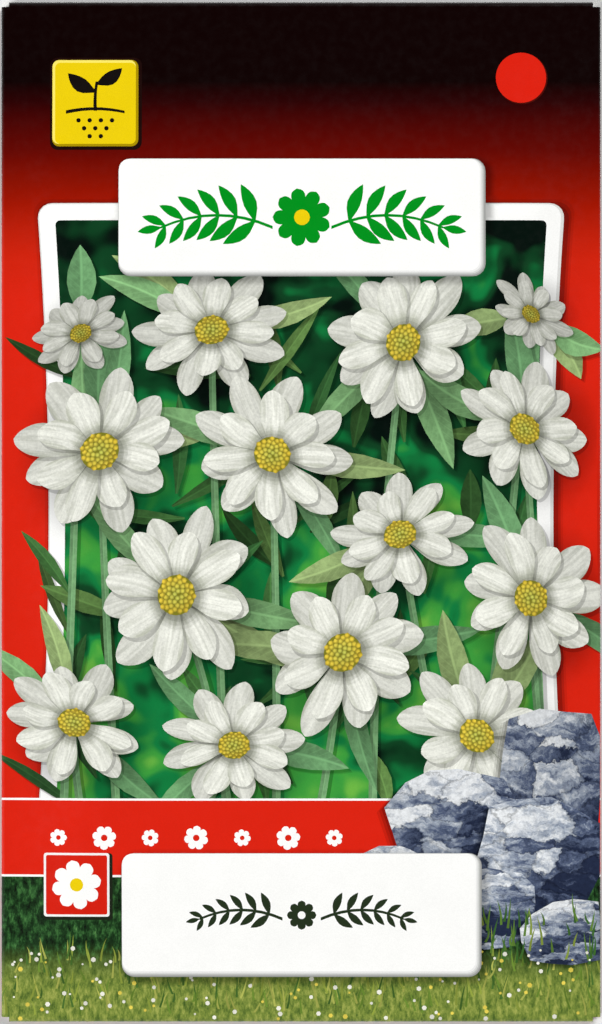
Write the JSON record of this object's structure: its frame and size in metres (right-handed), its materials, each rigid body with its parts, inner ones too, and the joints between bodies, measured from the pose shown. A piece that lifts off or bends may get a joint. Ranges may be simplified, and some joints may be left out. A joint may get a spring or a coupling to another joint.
{
  "type": "seed packet",
  "caption": "Flat paper seed packet with a printed flower picture, sealed at its ends and side, holding a small sachet of seeds.",
  "frame": {"origin": "on the surface the packet lies on, under the middle of its width and height", "axes": "+X to the right of the printed front, +Y up the packet towards its top edge, +Z out of the printed front"},
  "size_m": [0.094, 0.16, 0.0043],
  "materials": {
    "printed_paper": "coated paper, printed red and lightly glossy outside",
    "dried_glue": "thin dried adhesive",
    "sachet_film": "metallised laminate film, silvery",
    "seed_husk": "dull brown husk"
  },
  "bodies": {
    "root": {"envelope": "printed_paper", "side_seam_glue": "dried_glue", "bottom_flap_glue": "dried_glue", "top_flap_glue": "dried_glue", "sachet_upper_film": "sachet_film", "sachet_lower_film": "sachet_film", "seeds": "seed_husk"}
  },
  "joints": []
}
